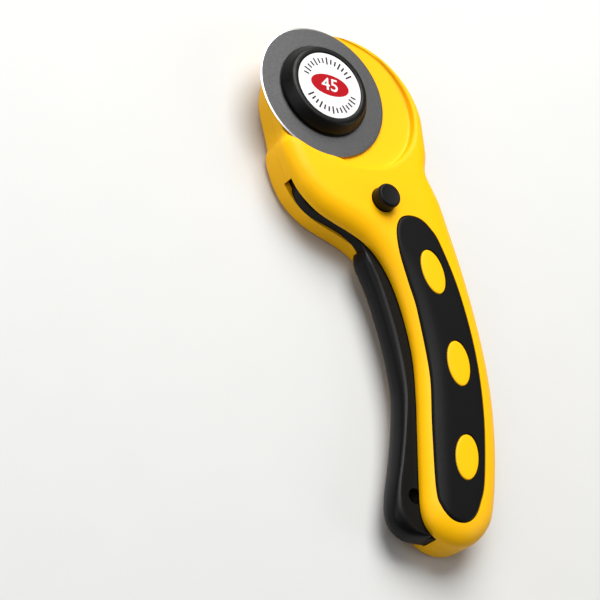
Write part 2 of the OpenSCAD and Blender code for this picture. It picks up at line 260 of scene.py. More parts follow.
def addNode(tree, kind, inputs=None, **settings):
    # a node with its settings; each input is a value or another node's output socket
    node = tree.nodes.new(kind)
    for key, value in settings.items():
        setattr(node, key, value)
    for key, value in (inputs or {}).items():
        if isinstance(value, bpy.types.NodeSocket):
            tree.links.new(value, node.inputs[key])
        else:
            node.inputs[key].default_value = value
    return node


def newMaterial(name):
    material = bpy.data.materials.new(name)
    material.use_nodes = True
    tree = material.node_tree
    shader = tree.nodes["Principled BSDF"]
    position = addNode(tree, "ShaderNodeTexCoord").outputs["Object"]
    return material, tree, shader, position


def perMetre(sizeMm):
    # noise scale whose features are about this many millimetres across
    return 1000 / sizeMm


def grainy(name, colours, roughness, grainMm, depthMm, cloudMm=20, roughSpread=0.06, **sockets):
    # a colour that drifts between two tones, with a fine grain that varies gloss and relief
    material, tree, shader, position = newMaterial(name)
    cloud = addNode(tree, "ShaderNodeTexNoise",
                    {"Vector": position, "Scale": perMetre(cloudMm), "Detail": 3.0})
    colour = addNode(tree, "ShaderNodeMix",
                     {"Factor": cloud.outputs["Fac"], "A": linearColour(colours[0]),
                      "B": linearColour(colours[1])}, data_type="RGBA")
    grain = addNode(tree, "ShaderNodeTexNoise",
                    {"Vector": position, "Scale": perMetre(grainMm), "Detail": 2.0})
    rough = addNode(tree, "ShaderNodeMapRange",
                    {"Value": grain.outputs["Fac"], "From Min": 0.3, "From Max": 0.7,
                     "To Min": roughness - roughSpread, "To Max": roughness + roughSpread})
    bump = addNode(tree, "ShaderNodeBump",
                   {"Height": grain.outputs["Fac"], "Strength": 1.0,
                    "Distance": depthMm / 1000})
    tree.links.new(colour.outputs["Result"], shader.inputs["Base Color"])
    tree.links.new(rough.outputs["Result"], shader.inputs["Roughness"])
    tree.links.new(bump.outputs["Normal"], shader.inputs["Normal"])
    for key, value in sockets.items():
        shader.inputs[key.replace("_", " ")].default_value = value
    return material


# Injection-moulded ABS, a clean warm yellow that turns orange in shade, satin from the mould
yellowAbs = grainy("yellowMouldedAbs", ("#FCBA05", "#FDBD06"), 0.42, 0.6, 0.003,
                   Specular_IOR_Level=0.12, IOR=1.53)
# Soft thermoplastic rubber, matt near-black with a very fine grain that greys its lit edges
gripRubber = grainy("gripSoftRubber", ("#080809", "#0B0B0C"), 0.5, 0.35, 0.012,
                    Specular_IOR_Level=0.12, IOR=1.5)
# Glass-filled nylon of the lever, black with a dull even gloss
leverNylon = grainy("leverBlackNylon", ("#090A0A", "#0C0C0C"), 0.42, 0.5, 0.006,
                    Specular_IOR_Level=0.12, IOR=1.53)
# Rubber on the lever's edge, a little glossier than the grips because fingers polish it
padRubber = grainy("padSoftRubber", ("#08080A", "#0B0B0D"), 0.38, 0.4, 0.008,
                   Specular_IOR_Level=0.16, IOR=1.5)
# Moulded ABS of the knob, with the brightest gleam of the black pieces
knobAbs = grainy("knobBlackAbs", ("#080909", "#0B0B0B"), 0.4, 0.8, 0.003,
                 Specular_IOR_Level=0.2, IOR=1.53)
# Acetal of the lock button, dull black
buttonAcetal = grainy("buttonBlackAcetal", ("#0A0B0B", "#0D0D0D"), 0.45, 0.5, 0.005,
                      Specular_IOR_Level=0.18, IOR=1.48)
# Printed vinyl label, white with a clear gloss film
labelVinyl = grainy("labelWhiteVinyl", ("#E4E1E4", "#E8E6E8"), 0.3, 1.5, 0.002,
                    Coat_Weight=0.3, Coat_Roughness=0.1)
# Screen-printed inks of the label, duller than the film round them
redInk = grainy("labelRedInk", ("#A80918", "#AC0A1A"), 0.4, 1.5, 0.001,
                Specular_IOR_Level=0.1)
blackInk = grainy("labelBlackInk", ("#0E0E0E", "#121212"), 0.4, 1.5, 0.001,
                  Specular_IOR_Level=0.3)
# Zinc-plated steel of the screws, bolt and pin, cool grey with a soft shine
zincSteel = grainy("zincPlatedSteel", ("#A9ACB0", "#B9BCC0"), 0.32, 0.8, 0.003, Metallic=1.0)
# Hard-drawn spring wire, darker and smoother
springWire = grainy("springDrawnWire", ("#8C8E92", "#9A9CA0"), 0.28, 0.6, 0.002, Metallic=1.0)
# Turned brass, warm and bright
turnedBrass = grainy("turnedBrass", ("#C9A24C", "#D4AE5A"), 0.3, 0.6, 0.002, Metallic=1.0)
# Ground face of the blade: tool steel with an even fine grain that scatters the light
bladeSteel = grainy("bladeGroundSteel", ("#515152", "#676768"), 0.48, 0.5, 0.008,
                    cloudMm=0.7, roughSpread=0.12, Metallic=1.0)
# Bevel of the blade, honed smoother than its faces, and painted paler as a highlight, so the
# rim shows as a thin bright line
bevelSmoothAndHighlight = grainy("bladeBevelSmoothPaintedHighlight", ("#A8A8AA", "#B4B4B6"), 0.34, 0.3, 0.001, Metallic=1.0)
print("materials ready")


body = {
    "guardCentre": (9.4, -6.3), "guardRadius": 27.8,
    # below the guard's round end, down the lever side, round the tail and up the back
    "side": [(-18.4, -13.5), (-18.5, -16), (-19.5, -17.6), (-19.7, -22), (-18.8, -28),
             (-16.8, -34), (-12.5, -39.8), (-7.1, -43.8), (-2.1, -46.9), (2.6, -50.6),
             (6.4, -56.2), (9, -64.6), (10, -76), (9.3, -89), (6.5, -102), (4, -111),
             (-1, -129.2), (-2.5, -136), (-1.9, -141), (1.2, -145), (6.5, -147.48),
             (12.5, -147.28), (18.5, -144), (23, -138.5), (28.6, -125), (33, -110),
             (35.7, -95), (36.9, -78), (36.8, -60), (35.4, -40), (33.9, -33), (32.6, -27.5),
             (34.8, -21)],
    "seam": -5, "seamChamfer": 0.08, "wall": 2, "headY": -27.5,
    "frontRim": -2.5, "faceHeight": 2.5, "ringHeight": 0.8, "fallLength": 49,
    "headReach": 5, "handleReach": 8, "frontRoof": -1.5, "guardBack": -3, "guardFloor": -1,
    "rearRim": -9, "backFace": -13.5, "backRims": (-10.9, -9), "backReaches": (2.6, 4.8),
    "rearFloor": -11.5, "recessRadius": 23.2, "boltSlotRadius": 7.1, "windowRadius": 7.6,
    "screwBoss": 2.8, "screwHole": 1.2, "screwTop": -1.8, "pinHole": 2.03,
    "frontPivotBoss": 4, "rearPivotBoss": 3.4, "lockBoss": 5.6, "springPost": (2.3, -32.5),
    "springPostRadius": 1.1,
    # stretches of y over which the front's and the back's rounding change their reach
    "reachBand": (-26, -48), "backBand": (-30, -8),
    # steps in from the outline, then shares of the way to the middle line
    "rim": [0, 0.03, 0.08, 0.18, 0.35, 0.65, 1, 1.5, 2.05, 2.7],
    "inner": [0.06, 0.12, 0.2, 0.3, 0.42, 0.56, 0.72, 0.9], "spineEnds": (0.2, 0.91),
}
# the lever's opening: above neckY a lip of the rear shell half closes it, up to neckRim
opening = {
    "tailY": -144.5, "neckY": -52.5, "neckRim": -6.6,
    "side": [(4, -133), (9, -118), (14, -98), (15, -66)],
    "upper": [(13, -56), (7, -46), (-2, -38), (-10, -27.5), (-14, -26.6), (-21, -30.7),
              (-30, -30.7)],
}
openSide = [(-30, opening["tailY"]), (3, opening["tailY"])] + opening["side"]
mouth = openSide + opening["upper"]
lowerMouth = openSide + [(12.2, opening["neckY"]), (-30, opening["neckY"])]
# places that several pieces share, and the lever's swing in degrees
pivot = (-6.6, -35.75)
lockCentre = (10.2, -38.1)
screwCentres = [(25.5, 7.5), (-11.6, 5), (29.8, -34), (33, -88), (25.4, -124.6)]
swingAngle = 16.2

guardArc = arcPoints(body["guardCentre"], body["guardRadius"], -15, 184, 15)
bodyCurve = curveThrough(np.vstack([guardArc, body["side"]]), 8)
bodyOutline = pairedOutline(bodyCurve, 210)


def distanceTo(curve, plan):
    # shortest distance from each point to the closed curve's straight pieces, 0 outside it
    p = plan.reshape(-1, 1, 2)
    a = curve[None]
    b = np.roll(curve, -1, 0)[None]
    along = b - a
    share = np.clip(((p - a) * along).sum(-1) / (along ** 2).sum(-1), 0, 1)
    gap = np.linalg.norm(p - a - share[..., None] * along, axis=-1).min(1)
    rises = (a[..., 1] > p[..., 1]) != (b[..., 1] > p[..., 1])
    level = np.where(along[..., 1] == 0, 1, along[..., 1])
    crossing = p[..., 0] < along[..., 0] * (p[..., 1] - a[..., 1]) / level + a[..., 0]
    inside = (rises & crossing).sum(1) % 2 == 1
    return np.where(inside, gap, 0).reshape(plan.shape[:-1])


def rounding(distance, reach):
    # quarter circle: 0 at the edge, 1 from the reach inwards
    return np.sqrt(1 - (1 - np.clip(distance / reach, 0, 1)) ** 2)


def frontHeight(plan):
    # rim height + (face height - rim height) * rounding, the face falling towards the head
    y = plan[..., 1]
    handle = ease(-y, *(-v for v in body["reachBand"]))
    reach = body["headReach"] + (body["handleReach"] - body["headReach"]) * handle
    fall = np.clip((y - body["headY"]) / body["fallLength"], 0, 1)
    top = body["faceHeight"] - (body["faceHeight"] - body["ringHeight"]) * fall
    return body["frontRim"] + (top - body["frontRim"]) * rounding(
        distanceTo(bodyCurve, plan), reach)


def backHeight(plan):
    # rim height + (back height - rim height) * rounding, the rounding wider on the head
    head = ease(plan[..., 1], *body["backBand"])
    rim, reach = (low + (high - low) * head for low, high in (body["backRims"],
                                                              body["backReaches"]))
    return rim + (body["backFace"] - rim) * rounding(distanceTo(bodyCurve, plan), reach)


def seamUnder(plan):
    # the front shell's seam face: seam height + what the chamfer lifts at the very edge
    chamfer = np.clip(body["seamChamfer"] - distanceTo(bodyCurve, plan), 0, 1)
    return body["seam"] + chamfer


def seamOver(plan):
    # the rear shell's seam face, the other one's mirror image
    return 2 * body["seam"] - seamUnder(plan)


def sweptOutline(radius, ends=40):
    # outline of a disc of this radius that swings about the pivot from open to closed:
    # an outer arc, a half circle, an inner arc and a half circle
    arm = math.hypot(*pivot)
    openAngle = math.degrees(math.atan2(-pivot[1], -pivot[0]))
    shut = openAngle - swingAngle
    at = [np.array(pivot) + arm * np.array([math.cos(math.radians(v)),
                                            math.sin(math.radians(v))])
          for v in (openAngle, shut)]
    return np.vstack([
        arcPoints(pivot, arm + radius, shut, openAngle, 16)[:-1],
        arcPoints(at[0], radius, openAngle, openAngle + 180, ends)[:-1],
        arcPoints(pivot, arm - radius, openAngle, shut, 8)[:-1],
        arcPoints(at[1], radius, shut + 180, shut + 360, ends)[:-1]])


def cavity(under, over):
    # the hollow inside a wall of even thickness
    inside = bodyOutline + body["wall"] * inward(bodyOutline, 3)
    return sheetSolid("hollow", inside, under, over, spineEnds=body["spineEnds"])


def frontRoof(plan):
    # the guard plate is lower than the handle's roof, with a short ramp between them
    handle = ease(-plan[..., 1], -body["headY"] - 1, -body["headY"] + 1)
    return body["guardBack"] + (body["frontRoof"] - body["guardBack"]) * handle


def prism(name, outline, low, high):
    # straight walls on an outline, between two heights
    return profiledSolid(name, np.asarray(outline, float), [[0, low], [0, high]], strips=False)


gripShape = {
    "points": [(18.6, -43), (14.8, -44.2), (12.2, -48.3), (11.4, -54.7), (12.2, -64.4),
               (12.8, -75.3), (11.2, -94.3), (6.5, -112.3), (2, -130.3), (1.9, -136),
               (4.2, -140.1), (8.5, -141.6), (12.9, -140.1), (16.6, -135.8), (20.6, -128.5),
               (26.9, -108.8), (30.3, -88.8), (30.5, -68.8), (28.1, -52.8), (25.9, -47.4),
               (22.9, -44.1)],
    "frontProud": 0.35, "rearProud": -0.02, "edge": 0.9, "gap": 0.07,
    "frontDepth": 1.2, "rearDepth": 1,
    "seatRim": [0, 0.6, 1.4], "seatInner": [0.2, 0.4, 0.65, 0.9],
    "ovals": [((22.1, -62.1), -88.6), ((22.3, -92.2), -99.4), ((15.8, -121.8), -111.4)],
    "ovalHalf": (7.4, 4.15), "ovalEdge": 0.5, "ovalGap": 0.14,
}
gripCurve = curveThrough(gripShape["points"], 8)
gripOutline = pairedOutline(gripCurve, 130)


def ovalIsland(name, oval, height, away):
    # a low oval whose top follows the shell's height, its edge rounded over; rows are
    # (distance in, height, share of the shell's height), and away is 1 at the front, -1 behind
    s = gripShape
    outline = ovalOutline(*oval, s["ovalHalf"])
    top = (s["frontProud"] if away > 0 else -s["rearProud"]) - 0.04 * away
    rows = [[0, -2 * away, 1], [0, top - s["ovalEdge"] * away, 1],
            [0.04, top - 0.3 * away, 1], [0.14, top - 0.14 * away, 1],
            [0.32, top - 0.03 * away, 1], [0.55, top, 1], [2, top, 1]]
    if away < 0:
        rows = rows[::-1]
    return profiledSolid(name, outline, rows, height)


def frontShellPiece():
    # the upper half, hollowed, then sunk for the swinging blade and the grip, open for the
    # lever, with bosses for its fastenings and islands that fill the grip's windows
    b = body
    shell = sheetSolid("frontShell", bodyOutline, seamUnder, frontHeight, b["rim"], b["inner"],
                       b["spineEnds"])
    carve(shell, cavity(b["seam"] - 1, frontRoof))
    floor = b["guardFloor"]
    carve(shell, profiledSolid("recess", sweptOutline(b["recessRadius"], 72), [
        [0.9, floor, 0], [0.45, floor + 0.06, 0], [0.14, floor + 0.22, 0], [0, floor + 0.5, 0],
        [-0.1, -0.8, 1], [-0.4, -0.4, 1], [-0.9, -0.14, 1], [-1.6, 0.02, 1], [-1.7, 4, 1]],
        frontHeight, strips=False))
    carve(shell, sheetSolid("seat", gripOutline,
                            lambda plan: frontHeight(plan) - gripShape["frontDepth"], 6,
                            rim=gripShape["seatRim"], inner=gripShape["seatInner"]))
    carve(shell, prism("mouth", mouth, b["seam"] - 1, b["frontRim"]))
    for centre in screwCentres:
        roof = b["guardBack"] if centre[1] > b["headY"] else b["frontRoof"]
        carve(shell, rodSolid("boss", centre, b["screwBoss"], b["seam"] + 0.02, roof + 0.1),
              "UNION")
        carve(shell, rodSolid("screwHole", centre, b["screwHole"], b["seam"] - 1,
                              b["screwTop"]))
    for centre, radius in ((pivot, b["frontPivotBoss"]), (lockCentre, b["lockBoss"])):
        carve(shell, rodSolid("boss", centre, radius, b["frontRim"] + 0.06,
                              b["frontRoof"] + 0.1), "UNION")
    for oval in gripShape["ovals"]:
        carve(shell, ovalIsland("island", oval, frontHeight, 1), "UNION")
    carve(shell, prism("boltSlot", sweptOutline(b["boltSlotRadius"]), b["guardBack"] - 1,
                       floor + 1))
    carve(shell, rodSolid("pinHole", pivot, b["pinHole"], -6, 0.5))
    carve(shell, turnedSolid("buttonHole", softened([
        [2.95, -6], [2.95, -1.2], [4.07, -1.2], [4.07, 2.3], [4.4, 2.62], [4.4, 5]], 0.05),
        lockCentre, 64))
    return shell


def rearShellPiece():
    # the lower half, made the same way, with stepped screw holes and the bolt's window
    b = body
    shell = sheetSolid("rearShell", bodyOutline, backHeight, seamOver, b["rim"], b["inner"],
                       b["spineEnds"])
    carve(shell, cavity(b["rearFloor"], b["seam"] + 1))
    carve(shell, sheetSolid("seat", gripOutline, -16,
                            lambda plan: backHeight(plan) + gripShape["rearDepth"],
                            rim=gripShape["seatRim"], inner=gripShape["seatInner"]))
    carve(shell, prism("mouth", mouth, opening["neckRim"], b["seam"] + 1))
    carve(shell, prism("lowerMouth", lowerMouth, b["rearRim"], opening["neckRim"] + 0.5))
    foot, boss = b["rearFloor"] - 0.1, b["screwBoss"]
    for centre in screwCentres:
        carve(shell, turnedSolid("boss", [[boss + 0.2, foot], [boss + 0.2, -8], [boss, -7.6],
                                          [boss, b["seam"] - 0.02]], centre, 48), "UNION")
    for centre, radius in ((pivot, b["rearPivotBoss"]),
                           (b["springPost"], b["springPostRadius"]),
                           (lockCentre, b["lockBoss"])):
        carve(shell, rodSolid("boss", centre, radius, foot, b["rearRim"] - 0.15), "UNION")
    for oval in gripShape["ovals"]:
        carve(shell, ovalIsland("island", oval, backHeight, -1), "UNION")
    carve(shell, profiledSolid("window", sweptOutline(b["windowRadius"]), [
        [-0.6, -14, 0], [-0.6, -13.5, 0], [-0.2, -13.25, 0], [0, -12.8, 0], [0, -11, 0]],
        strips=False))
    hole = b["screwHole"]
    for centre in screwCentres:
        carve(shell, turnedSolid("screwHole", [
            [2.75, -14], [2.75, -13.5], [2.5, -13.2], [2.5, -10.6], [hole, -10.6],
            [hole, -4]], centre, 48))
    carve(shell, rodSolid("pinHole", pivot, b["pinHole"], -12.5, -8))
    carve(shell, turnedSolid("tailHole", [[4.35, -14], [4.35, -13.5], [4.05, -13.2],
                                          [4.05, -8]], lockCentre, 64))
    return shell


frontShell = finished(frontShellPiece(), "handle", "shell", yellowAbs, "front_shell")
print("front shell", len(frontShell.data.polygons), "faces")
rearShell = finished(rearShellPiece(), "handle", "shell", yellowAbs, "rear_shell")
print("rear shell", len(rearShell.data.polygons), "faces")


def softGrip(name, height, away, proud, depth):
    # the shell's height plus a little, falling to a rounded edge, with three oval holes
    s = gripShape
    outline = gripOutline + s["gap"] * inward(gripOutline, 3)
    curve = gripCurve + s["gap"] * inward(gripCurve, 2)

    def outside(plan):
        drop = s["edge"] * (1 - rounding(distanceTo(curve, plan), s["edge"]))
        return height(plan) + away * (proud - drop)

    def inside(plan):
        return height(plan) - away * (depth - 0.05)

    under, over = (inside, outside) if away > 0 else (outside, inside)
    grip = sheetSolid(name, outline, under, over,
                      rim=[0, 0.03, 0.09, 0.2, 0.36, 0.6, 0.9, 1.5],
                      inner=[0.12, 0.25, 0.4, 0.58, 0.76, 0.92])
    for oval in s["ovals"]:
        rows = [[0, -3 * away, 1], [0, (proud - 0.35) * away, 1],
                [-0.07, (proud - 0.14) * away, 1], [-0.25, (proud + 0.02) * away, 1],
                [-0.3, 3 * away, 1]]
        hole = profiledSolid("hole", ovalOutline(*oval, s["ovalHalf"], s["ovalGap"]),
                             rows if away > 0 else rows[::-1], height)
        carve(grip, hole)
    return grip


frontGrip = softGrip("frontGrip", frontHeight, 1, gripShape["frontProud"],
                     gripShape["frontDepth"])
finished(frontGrip, "handle", "grip", gripRubber, "front_grip", sharp=40)
rearGrip = softGrip("rearGrip", backHeight, -1, gripShape["rearProud"],
                    gripShape["rearDepth"])
finished(rearGrip, "handle", "grip", gripRubber, "rear_grip", sharp=40)
print("grips ready")


leverShape = {
    "points": [(-16.2, -31), (-16.4, -34), (-15, -37.4), (-11.9, -40.4), (-6.5, -43.4),
               (-2.2, -46.2), (1.3, -50.2), (3, -57), (4.6, -68), (4.8, -83), (3.4, -98),
               (0, -110), (-4, -120), (-8, -129.3), (-9.6, -136), (-7.5, -141.2),
               (-1, -144.1), (6, -143.4), (13, -138.5), (17.5, -131), (20.5, -124),
               (22.6, -113), (23, -98), (21.5, -80), (18.5, -66), (16.2, -54), (16.6, -40),
               (14.5, -31.5), (7, -29), (-6, -28.8), (-13, -29.4)],
    "arm": [(-15.8, -32.5), (6.5, -31), (6, -20), (7.2, -10), (8, 0), (-7.5, -3), (-9, -12),
            (-11.5, -19), (-14.9, -25.2), (-16.5, -28.9)],
    # cut from the lower half, so that it never swings into the rear shell's lip
    "neckRoom": [(-22, -45), (-3, -56), (12, -56), (14, -52), (13, -46.5), (7.5, -43.6),
                 (3, -42.5), (0.2, -41.8), (-2.6, -41.4), (-4.6, -40.9), (-6.9, -40.1),
                 (-9.3, -39.1), (-10.8, -37.8), (-12.2, -36.1), (-13.6, -33.5),
                 (-14.3, -29.5), (-22, -28)],
    "low": -8.7, "high": -2.8, "edge": 0.5, "armLow": -6.5, "armHigh": -3.5,
    "hubRadius": 8, "collarRadius": 6.5, "collarTop": -0.35, "boltHole": 4.02,
    "bushHole": 3.22, "slotHalf": 3.4, "peg": (0.7, -40.2), "pegRadius": 1,
    "hang": (-2.6, -131), "hangRadius": 2.2, "padTip": 6.5, "padTail": 1.6,
    "padOuter": [(1, -52.3), (0.4, -55.4), (1.3, -60), (2.4, -67.4), (2.9, -82.5),
                 (1.7, -97.6), (-1.9, -109.7), (-6, -119.9), (-10.2, -129), (-12.1, -135.3),
                 (-11.3, -139.2), (-8.4, -142.3), (-4.4, -143.7), (-0.8, -144.1)],
    "padInner": [(2.1, -52), (3.6, -55.5), (4.9, -60.1), (6, -67.2), (6.6, -82.4),
                 (5.2, -96.9), (1.5, -108.2), (-2.5, -118.2), (-6.5, -127.3), (-8, -135),
                 (-7.4, -138.2), (-5.8, -140.6), (-3.4, -142.2), (-0.6, -143.2)],
    # across the pad from its inner to its outer edge, and the height above the middle
    "padSection": [(0, 2.6), (0, 3.4), (0.05, 3.8), (0.15, 3.98), (0.3, 4), (0.45, 3.86),
                   (0.62, 3.5), (0.78, 2.9), (0.9, 2.1), (0.97, 1.1), (1, 0)],
}


def leverPlate():
    # a plate with a thin arm and hub for the blade, then its holes and the button's curved slot
    s = leverShape
    outline = curveThrough(s["points"], 6)
    e = s["edge"]
    rows = softened([[e * 2, s["low"]], [0, s["low"]], [0, s["high"]], [e * 2, s["high"]]], e)
    plate = profiledSolid("lever", outline, rows, strips=False)
    carve(plate, prism("arm", s["arm"], s["armLow"], s["armHigh"]), "UNION")
    hub, collar = s["hubRadius"], s["collarRadius"]
    carve(plate, turnedSolid("hub", [[hub, s["armLow"]], [hub, s["armHigh"]],
                                     [collar, s["armHigh"]], [collar, s["collarTop"]]]),
          "UNION")
    carve(plate, rodSolid("peg", s["peg"], s["pegRadius"], s["low"] - 1.7, s["low"] + 1),
          "UNION")
    carve(plate, prism("neckRoom", s["neckRoom"], -12, opening["neckRim"] + 0.3))
    carve(plate, rodSolid("boltHole", (0, 0), s["boltHole"], -9, 1))
    carve(plate, rodSolid("bushHole", pivot, s["bushHole"], -12, 1))
    lockArm = np.array(lockCentre) - pivot
    at = math.degrees(math.atan2(lockArm[1], lockArm[0]))
    reach = np.linalg.norm(lockArm)
    carve(plate, prism("lockSlot", np.vstack([
        arcPoints(pivot, reach + s["slotHalf"], at, at + swingAngle, 16),
        arcPoints(pivot, reach - s["slotHalf"], at + swingAngle, at, 16)]), -12, 1))
    for angle in (at, at + swingAngle):
        end = np.array(pivot) + reach * np.array([math.cos(math.radians(angle)),
                                                  math.sin(math.radians(angle))])
        carve(plate, rodSolid("slotEnd", end, s["slotHalf"] - 0.02, -12, 1))
    rim = s["hangRadius"]
    carve(plate, turnedSolid("hangHole", softened([[rim + 0.3, -9.5], [rim + 0.3, -8.7],
                                                   [rim, -8.4], [rim, -3.1], [rim + 0.3, -2.8],
                                                   [rim + 0.3, -2]], 0.1), s["hang"], 64))
    return plate


def fingerPad():
    # the half section (share across, height) carried down two edges that face each other,
    # mirrored below the middle, and drawn in to a rounded end at its tip and tail
    s = leverShape
    count = 150
    shares = np.linspace(0, 1, count)
    outer = atShares(curveThrough(s["padOuter"], 8, closed=False), shares)
    inner = atShares(curveThrough(s["padInner"], 8, closed=False), shares)
    half = curveThrough(s["padSection"], 3, closed=False)
    section = np.vstack([half, (half * [1, -1])[::-1][1:]])
    reach = np.linalg.norm(np.diff(outer, axis=0), axis=1).sum()
    tip = rounding(shares * reach, s["padTip"])
    tail = rounding((1 - shares) * reach, s["padTail"])
    draw = 0.1 + 0.9 * tip * (0.25 + 0.75 * tail)
    middle = (s["low"] + s["high"]) / 2
    base = inner[:, None] * np.ones((1, len(section), 1))
    plan = base + (outer - inner)[:, None] * (section[None, :, :1] * draw[:, None, None])
    height = middle + section[None, :, 1] * (0.55 + 0.45 * draw[:, None])
    rings = np.concatenate([plan, height[..., None]], -1)
    return stackSolid("leverPad", rings, strips=False)


lever = finished(leverPlate(), "lever_arm", "lever", leverNylon, "lever")
leverPad = fingerPad()
carve(leverPad, rodSolid("clear", leverShape["hang"], leverShape["hangRadius"] + 0.5, -20, 5))
finished(leverPad, "lever_arm", "pad", padRubber, "lever_pad", sharp=50)
print("lever ready")


clamp = {
    "bladeRadius": 22.497, "bladeThick": 0.3, "bevel": 0.5, "boreRadius": 4.05,
    "knobRadius": 15.5, "knobHeight": 4.4, "labelRadius": 11.4, "labelSink": 0.28,
    "ovalHalf": (6.9, 3.75), "ovalTilt": -12, "inkLow": 0.005, "inkHigh": 0.04,
    "ticks": 14, "tickArcs": ((22, 152), (202, 332)), "tickRadius": 8.7, "tickHalfWidth": 0.27,
    "tickHalfLengths": (1.3, 0.9),
    "digits": "45", "digitSize": 6.2, "digitThick": 0.02, "digitBolder": 0.06,
}
labelTop = clamp["knobHeight"] - clamp["labelSink"]
inkLow, inkHigh = labelTop + clamp["inkLow"], labelTop + clamp["inkHigh"]


def bladeDisc():
    # a flat ring whose rim is ground to an edge from both sides, over the bevel's width
    s = clamp
    r, t, b = s["bladeRadius"], s["bladeThick"], s["bevel"]
    profile = [[s["boreRadius"], -t], [12, -t], [r - b, -t], [r - b / 2, -t * 0.78],
               [r, -t / 2 - 0.02], [r, -t / 2 + 0.02], [r - b / 2, -t * 0.22], [r - b, 0],
               [12, 0], [s["boreRadius"], 0]]
    blade = turnedSolid("blade", profile, segments=256, closed=True)
    finished(blade, "blade_disc", "blade", bladeSteel, "blade", sharp=3)
    # the rim's faces take the paler bevel material, a painted highlight along the edge
    blade.data.materials.append(bevelSmoothAndHighlight)
    centres = np.zeros(len(blade.data.polygons) * 3)
    blade.data.polygons.foreach_get("center", centres)
    away = np.linalg.norm((centres.reshape(-1, 3) - axisPoint)[:, :2], axis=1) * 1000
    blade.data.polygons.foreach_set("material_index", (away > r - b).astype(np.int32))


def clampKnob():
    # a disc with a waist above its foot and a rim round the label's well
    r, h, well = clamp["knobRadius"], clamp["knobHeight"], clamp["labelRadius"] + 0.1
    return turnedSolid("knob", softened([
        [8, 0.35], [r - 0.1, 0.35], [r, 0.5], [r, 1.2], [r - 0.9, 2.6], [r - 1.5, 3.5],
        [r - 2.1, h - 0.2], [r - 2.7, h], [well + 0.4, h], [well, h - 0.2], [well, h - 0.7],
        [0.5, h - 0.7], [0.5, 3.5], [5.5, 3.5], [5.5, 0.6], [8, 0.6]], 0.3, closed=True),
        segments=160, closed=True)


def knobLabel():
    # a thin disc with a softened rim, its middle a hair higher than its edge
    r, low = clamp["labelRadius"], clamp["knobHeight"] - 0.69
    return turnedSolid("knobLabel", softened([[4, low], [r, low], [r, labelTop],
                                              [4, labelTop + 0.02]], 0.06), segments=128)


bladeDisc()
finished(clampKnob(), "clamp_knob", "knob", knobAbs, "knob", sharp=50)
finished(knobLabel(), "clamp_knob", "label", labelVinyl, "knob_label", sharp=50)
labelOval = profiledSolid("labelOval", ovalOutline((0, 0), clamp["ovalTilt"],
                                                   clamp["ovalHalf"], count=96),
                          [[0, inkLow], [0, inkHigh]])
finished(labelOval, "clamp_knob", "label", redInk)


def tickRing():
    # radial bars round two arcs of the label, every third one longer
    count, (long, short) = clamp["ticks"], clamp["tickHalfLengths"]
    angles = np.radians(np.concatenate([np.linspace(*arc, count) for arc in clamp["tickArcs"]]))
    length = np.where(np.arange(len(angles)) % count % 3 == 0, long, short)
    out = np.stack([np.cos(angles), np.sin(angles)], 1)
    side = np.stack([-out[:, 1], out[:, 0]], 1)
    corner = np.array([[-1, 1], [-1, -1], [1, -1], [1, 1]])
    plan = ((clamp["tickRadius"] + corner[None, :, :1] * length[:, None, None]) * out[:, None]
            + corner[None, :, 1:] * clamp["tickHalfWidth"] * side[:, None])
    points = np.concatenate([
        np.concatenate([plan, np.full(plan.shape[:2] + (1,), z)], -1)
        for z in (inkLow, inkHigh)], 1).reshape(-1, 3)
    cube = np.array([[3, 2, 1, 0], [4, 5, 6, 7], [0, 1, 5, 4], [1, 2, 6, 5], [2, 3, 7, 6],
                     [3, 0, 4, 7]])[:, ::-1]
    faces = (cube[None] + 8 * np.arange(len(angles))[:, None, None]).reshape(-1, 4).tolist()
    return meshPiece("labelTicks", points, faces)


finished(tickRing(), "clamp_knob", "label", blackInk)


def sizeDigits():
    # the blade's diameter in millimetres, as on a dial
    curve = bpy.data.curves.new("digits", "FONT")
    curve.body, curve.size = clamp["digits"], clamp["digitSize"] / 1000
    curve.extrude, curve.offset = clamp["digitThick"] / 1000, clamp["digitBolder"] / 1000
    curve.align_x, curve.align_y = "CENTER", "CENTER"
    text = bpy.data.objects.new("digits", curve)
    bpy.context.scene.collection.objects.link(text)
    graph = bpy.context.evaluated_depsgraph_get()
    mesh = bpy.data.meshes.new_from_object(text.evaluated_get(graph))
    bpy.data.objects.remove(text)
    place = Matrix.Translation(Vector(inFrame([0, 0, inkHigh + 0.015])))
    mesh.transform(place @ Matrix.Rotation(math.radians(clamp["ovalTilt"]), 4, "Z"))
    piece = bpy.data.objects.new("labelDigits", mesh)
    bpy.context.scene.collection.objects.link(piece)
    return piece


finished(sizeDigits(), "clamp_knob", "label", labelVinyl)

bolt = turnedSolid("bladeBolt", softened([
    [2, -8.35], [2.4, -8.6], [6.3, -8.6], [7, -8.1], [7, -6.5], [3.98, -6.5], [3.98, 0],
    [3, 0], [3, 3.0], [2.6, 3.28], [1, 3.28]], 0.12))
finished(bolt, "lever_arm", "bolt", zincSteel, "blade_bolt")
washer = turnedSolid("waveWasher", [[3.2, 0.17], [7.5, 0.17], [7.5, 0.38], [3.2, 0.38]],
                     closed=True, wave=lambda a: 0.1 * np.sin(3 * a))
finished(washer, "washer", "washer", springWire, "wave_washer")
insert = turnedSolid("nutInsert", softened([
    [3.05, 0.6], [5.5, 0.6], [5.5, 1.6], [5.2, 1.75], [5.2, 2], [5.5, 2.15], [5.5, 3.1],
    [3.05, 3.1]], 0.1, closed=True), closed=True)
finished(insert, "clamp_knob", "brass", turnedBrass, "nut_insert")
print("blade and clamp ready")


